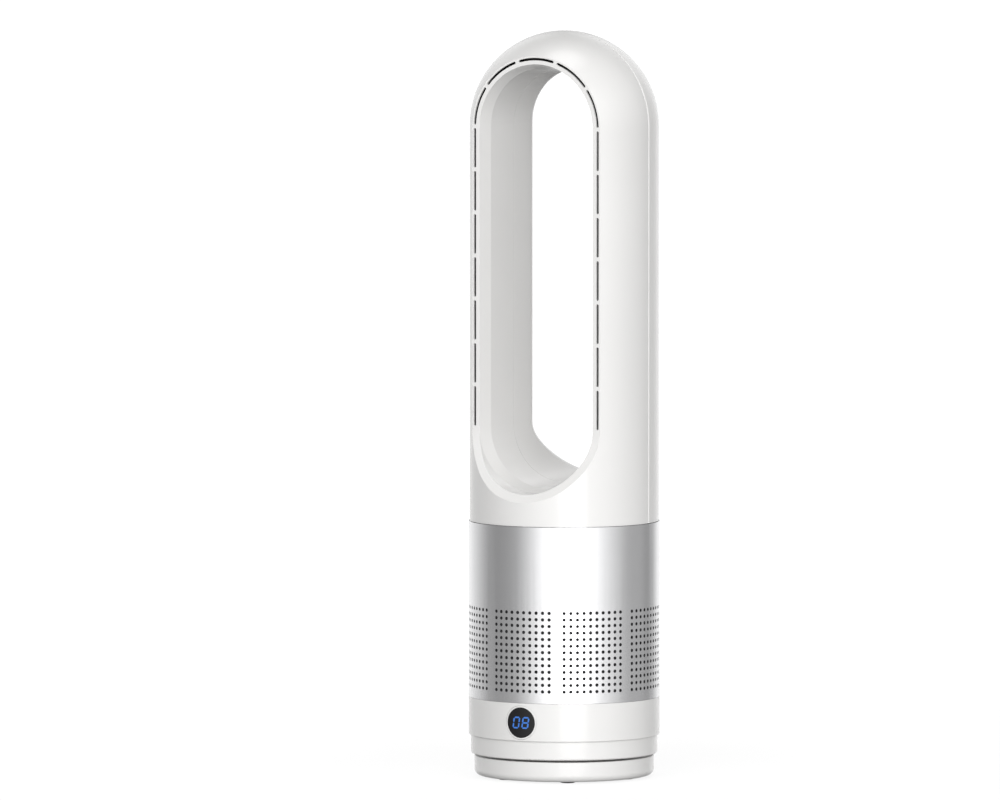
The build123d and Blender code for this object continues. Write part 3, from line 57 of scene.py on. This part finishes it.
# ---------------------------------------------------------------- node helpers
class Graph:
    """A material's node tree with short calls to add and join nodes."""

    def __init__(self, name):
        self.material = bpy.data.materials.new(name)
        self.material.use_nodes = True
        self.tree = self.material.node_tree
        self.tree.nodes.clear()
        self.shader = self.add("ShaderNodeBsdfPrincipled")
        out = self.add("ShaderNodeOutputMaterial")
        self.link(self.shader.outputs["BSDF"], out.inputs["Surface"])
        self.coords = self.add("ShaderNodeTexCoord").outputs["Object"]

    def add(self, kind, **settings):
        node = self.tree.nodes.new(kind)
        for key, value in settings.items():
            setattr(node, key, value)
        return node

    def link(self, source, target):
        self.tree.links.new(source, target)

    def set(self, **values):
        for key, value in values.items():
            self.shader.inputs[key.replace("_", " ")].default_value = value

    def stretched(self, scale):
        mapping = self.add("ShaderNodeMapping")
        mapping.inputs["Scale"].default_value = scale
        self.link(self.coords, mapping.inputs["Vector"])
        return mapping.outputs["Vector"]

    def noise(self, scale, detail, vector=None):
        node = self.add("ShaderNodeTexNoise")
        node.inputs["Scale"].default_value = scale
        node.inputs["Detail"].default_value = detail
        self.link(vector or self.coords, node.inputs["Vector"])
        return node.outputs["Fac"]

    def between(self, factor, low, high, start=0.3, end=0.7):
        node = self.add("ShaderNodeMapRange")
        for key, value in (("From Min", start), ("From Max", end),
                           ("To Min", low), ("To Max", high)):
            node.inputs[key].default_value = value
        self.link(factor, node.inputs["Value"])
        return node.outputs["Result"]

    def blend(self, factor, first, second):
        # On a colour mix, sockets 6 and 7 are A and B, and output 2 is the colour.
        node = self.add("ShaderNodeMix", data_type="RGBA")
        node.inputs[6].default_value = (*first, 1)
        node.inputs[7].default_value = (*second, 1)
        self.link(factor, node.inputs[0])
        return node.outputs[2]

    def bump(self, height, distance, base=None):
        node = self.add("ShaderNodeBump")
        node.inputs["Distance"].default_value = distance
        self.link(height, node.inputs["Height"])
        if base is not None:
            self.link(base, node.inputs["Normal"])
        return node.outputs["Normal"]

    def rounded(self, radius):
        node = self.add("ShaderNodeBevel", samples=6)
        node.inputs["Radius"].default_value = radius
        return node.outputs["Normal"]


MOTTLE = 0.01              # share by which a moulded colour varies


def moulded(name, colour, roughness, coat=0.0, texture=1400, depth=1.5e-6, edge=0.0):
    """Injection moulded plastic: faint flow marks, uneven gloss and a fine surface grain."""
    g = Graph(name)
    low = tuple(c * (1 - MOTTLE) for c in colour)
    high = tuple(c * (1 + MOTTLE) for c in colour)
    g.link(g.blend(g.between(g.noise(9, 3), 0, 1), low, high), g.shader.inputs["Base Color"])
    g.link(g.between(g.noise(35, 3), roughness * 0.88, roughness * 1.06),
           g.shader.inputs["Roughness"])
    base = g.rounded(edge) if edge else None
    g.link(g.bump(g.noise(texture, 2), depth, base=base), g.shader.inputs["Normal"])
    g.set(IOR=1.49, Coat_Weight=coat, Coat_Roughness=0.06)
    return g.material


def metal(name, colour, roughness, stretch=(1, 1, 1), texture=900, depth=3e-6):
    """Metal with a direction of polish: streaks in gloss and height along one axis."""
    g = Graph(name)
    streaks = g.noise(texture, 3, g.stretched(stretch))
    low = tuple(c * 0.97 for c in colour)
    g.link(g.blend(g.between(g.noise(14, 2), 0, 1), low, colour), g.shader.inputs["Base Color"])
    g.link(g.between(streaks, roughness * 0.92, roughness * 1.08), g.shader.inputs["Roughness"])
    g.link(g.bump(streaks, depth), g.shader.inputs["Normal"])
    g.set(Metallic=1.0)
    return g.material


# ---------------------------------------------------------------- materials
materials = {
    "shell_white": moulded("shell_white", (0.80, 0.794, 0.784), 0.25, coat=0.5, edge=0.0002),
    "body_white": moulded("body_white", (0.80, 0.795, 0.785), 0.25, coat=0.5, edge=0.0004),
    "silver_metal": metal("silver_metal", (0.84, 0.84, 0.85), 0.24, (0.004, 0.004, 1.5)),
    "display_black": moulded("display_black", (0.004, 0.004, 0.005), 0.10),
    "liner_black": moulded("liner_black", (0.012, 0.012, 0.012), 0.6, texture=900),
    "inner_grey": moulded("inner_grey", (0.42, 0.43, 0.44), 0.5, depth=1e-5),
    "inner_dark": moulded("inner_dark", (0.05, 0.05, 0.055), 0.5, depth=1e-5),
    "rubber": moulded("rubber", (0.03, 0.03, 0.032), 0.75, texture=2200, depth=2e-5),
    "foam": moulded("foam", (0.06, 0.06, 0.065), 0.95, texture=900, depth=2e-4),
    "steel": metal("steel", (0.62, 0.62, 0.63), 0.32, (1, 1, 0.05)),
    "ballast_iron": moulded("ballast_iron", (0.06, 0.06, 0.065), 0.55, texture=500, depth=6e-5),
    "race_plastic": moulded("race_plastic", (0.78, 0.76, 0.70), 0.42),
    "board_green": moulded("board_green", (0.02, 0.16, 0.06), 0.35, coat=0.4, texture=700),
    "parts_black": moulded("parts_black", (0.02, 0.02, 0.021), 0.5, texture=1800, depth=1e-5),
    "copper": metal("copper", (0.72, 0.30, 0.14), 0.35, (1, 1, 4), texture=700, depth=3e-5),
    "contact_brass": metal("contact_brass", (0.86, 0.62, 0.28), 0.22),
    "lead_grey": moulded("lead_grey", (0.10, 0.10, 0.105), 0.6, texture=1500, depth=1e-5),
}


def lit_digits():
    """Blue light through the window, varying a little at random across the bars."""
    g = Graph("display_blue")
    glow = g.blend(g.noise(420, 1), (0.030, 0.125, 0.43), (0.042, 0.165, 0.54))
    g.link(glow, g.shader.inputs["Base Color"])
    g.link(glow, g.shader.inputs["Emission Color"])
    g.set(Emission_Strength=0.45, Roughness=0.3)
    return g.material


def filter_cloth():
    """Black filter net: fine threads along the edges of a small cell pattern."""
    g = Graph("filter_black")
    weave = g.add("ShaderNodeTexVoronoi", feature="DISTANCE_TO_EDGE")
    weave.inputs["Scale"].default_value = 1100
    g.link(g.coords, weave.inputs["Vector"])
    threads = g.between(weave.outputs["Distance"], 1, 0, 0.02, 0.2)
    g.link(g.blend(threads, (0.004, 0.004, 0.005), (0.035, 0.036, 0.04)),
           g.shader.inputs["Base Color"])
    g.link(g.bump(threads, 1e-4), g.shader.inputs["Normal"])
    g.set(Roughness=0.85, Sheen_Weight=0.2)
    return g.material


materials["display_blue"] = lit_digits()
materials["filter_black"] = filter_cloth()

for part in frame["record"]["subparts"]:
    node = nodes[part["node"]]
    node.data.materials.clear()
    node.data.materials.append(materials[part["material_slot"]])


# ---------------------------------------------------------------- floor
FLOOR_RADIUS = 1.8
FLOOR_FADE_START = 0.3     # the floor fades out from here to its edge
FLOOR_OPACITY = 0.22


def make_floor():
    mesh = bpy.data.meshes.new("floor")
    bm = bmesh.new()
    bmesh.ops.create_circle(bm, cap_ends=True, segments=96, radius=FLOOR_RADIUS)
    bm.to_mesh(mesh)
    bm.free()
    floor = bpy.data.objects.new("floor", mesh)
    scene.collection.objects.link(floor)
    g = Graph("floor")
    away = g.add("ShaderNodeVectorMath", operation="LENGTH")
    g.link(g.coords, away.inputs[0])
    seen = g.between(away.outputs["Value"], FLOOR_OPACITY, 0, FLOOR_FADE_START, FLOOR_RADIUS)
    g.link(seen, g.shader.inputs["Alpha"])
    g.link(g.blend(g.noise(3, 2), (0.90, 0.90, 0.90), (0.92, 0.92, 0.92)),
           g.shader.inputs["Base Color"])
    g.set(Roughness=0.7)
    mesh.materials.append(g.material)
    return floor


make_floor()


# ---------------------------------------------------------------- light
BACKDROP = 1.1             # brightness of the white that the camera sees
# Brightness round the studio, by degrees to the right of the camera's bearing
ROUND = [(-180, 0.6), (-168, 1.1), (-150, 0.98), (-125, 0.68), (-105, 0.38), (-90, 0.30),
         (-75, 0.34), (-60, 0.42), (-46, 0.72), (-33, 1.08), (-20, 1.5), (-7, 1.65), (7, 1.6),
         (20, 1.5), (34, 1.35), (46, 1.12), (58, 0.88), (70, 0.68), (82, 0.46), (94, 0.44),
         (106, 0.44), (120, 0.3), (135, 0.5), (152, 1.05), (168, 1.15), (180, 0.6)]
# Brightness below and above that band, by the height of the direction from -1 to 1
UPRIGHT = [(-0.15, 0.15), (0.45, 0.2), (0.93, 0.25), (0.985, 2.0)]
# How much of the direction's light comes from UPRIGHT, by the same height
UPRIGHT_SHARE = [(-0.4, 1.0), (-0.15, 0.0), (0.45, 0.0), (0.75, 1.0)]
LIGHT_AIM = Vector((0, 0, 0.4))
LIGHT_DISTANCE = 3.0
LIGHT_SIZE = (1.8, 2.4)


def world_light():
    """A white studio: bright ahead of and behind the object, dimmer to both sides."""
    world = bpy.data.worlds.new("studio")
    scene.world = world
    world.use_nodes = True
    tree = world.node_tree
    tree.nodes.clear()

    def add(kind, **settings):
        node = tree.nodes.new(kind)
        for key, value in settings.items():
            setattr(node, key, value)
        return node

    def set_stops(ramp, stops):
        ramp.color_ramp.interpolation = "LINEAR"
        elements = ramp.color_ramp.elements
        while len(elements) > 1:
            elements.remove(elements[-1])
        for i, (position, value) in enumerate(stops):
            element = elements[0] if i == 0 else elements.new(position)
            element.position = position
            element.color = (value, value, value, 1)

    coords = add("ShaderNodeTexCoord").outputs["Generated"]
    turn = add("ShaderNodeVectorRotate", rotation_type="Z_AXIS")
    turn.inputs["Angle"].default_value = -CAMERA_AZIMUTH
    tree.links.new(coords, turn.inputs["Vector"])
    split = add("ShaderNodeSeparateXYZ")
    tree.links.new(turn.outputs["Vector"], split.inputs["Vector"])
    back = add("ShaderNodeMath", operation="MULTIPLY")
    back.inputs[1].default_value = -1
    tree.links.new(split.outputs["Y"], back.inputs[0])
    angle = add("ShaderNodeMath", operation="ARCTAN2")
    tree.links.new(split.outputs["X"], angle.inputs[0])
    tree.links.new(back.outputs[0], angle.inputs[1])
    share = add("ShaderNodeMapRange")
    share.inputs["From Min"].default_value = -math.pi
    share.inputs["From Max"].default_value = math.pi
    tree.links.new(angle.outputs[0], share.inputs["Value"])
    ramp = add("ShaderNodeValToRGB")
    tree.links.new(share.outputs["Result"], ramp.inputs["Fac"])
    set_stops(ramp, [((degrees + 180) / 360, value) for degrees, value in ROUND])
    upright = add("ShaderNodeMapRange")
    upright.inputs["From Min"].default_value = -1
    tree.links.new(split.outputs["Z"], upright.inputs["Value"])
    away = add("ShaderNodeValToRGB")
    tree.links.new(upright.outputs["Result"], away.inputs["Fac"])
    set_stops(away, [((z + 1) / 2, value) for z, value in UPRIGHT_SHARE])
    level = add("ShaderNodeValToRGB")
    tree.links.new(upright.outputs["Result"], level.inputs["Fac"])
    set_stops(level, [((z + 1) / 2, value) for z, value in UPRIGHT])
    sky = add("ShaderNodeMix", data_type="RGBA", blend_type="MIX")
    tree.links.new(level.outputs["Color"], sky.inputs[7])
    tree.links.new(away.outputs["Color"], sky.inputs[0])
    tree.links.new(ramp.outputs["Color"], sky.inputs[6])
    lit = add("ShaderNodeBackground")
    tree.links.new(sky.outputs[2], lit.inputs["Color"])
    seen = add("ShaderNodeBackground")
    seen.inputs["Color"].default_value = (1, 1, 1, 1)
    seen.inputs["Strength"].default_value = BACKDROP
    path = add("ShaderNodeLightPath")
    choose = add("ShaderNodeMixShader")
    tree.links.new(path.outputs["Is Camera Ray"], choose.inputs[0])
    tree.links.new(lit.outputs[0], choose.inputs[1])
    tree.links.new(seen.outputs[0], choose.inputs[2])
    out = add("ShaderNodeOutputWorld")
    tree.links.new(choose.outputs[0], out.inputs["Surface"])


def softbox(name, azimuth, height, power):
    """A rectangular soft light that faces the object from a bearing round it."""
    data = bpy.data.lights.new(name, "AREA")
    data.shape = "RECTANGLE"
    data.size, data.size_y = LIGHT_SIZE
    data.energy = power
    light = bpy.data.objects.new(name, data)
    scene.collection.objects.link(light)
    bearing = math.radians(azimuth)
    light.location = (LIGHT_DISTANCE * math.sin(bearing), -LIGHT_DISTANCE * math.cos(bearing), height)
    to_object = LIGHT_AIM - light.location
    light.rotation_mode = "QUATERNION"
    light.rotation_quaternion = to_object.to_track_quat("-Z", "Y")


world_light()
softbox("key", 38, 0.7, 26)
softbox("high_left", 2, 2.2, 22)
softbox("high_right", 52, 2.2, 7)
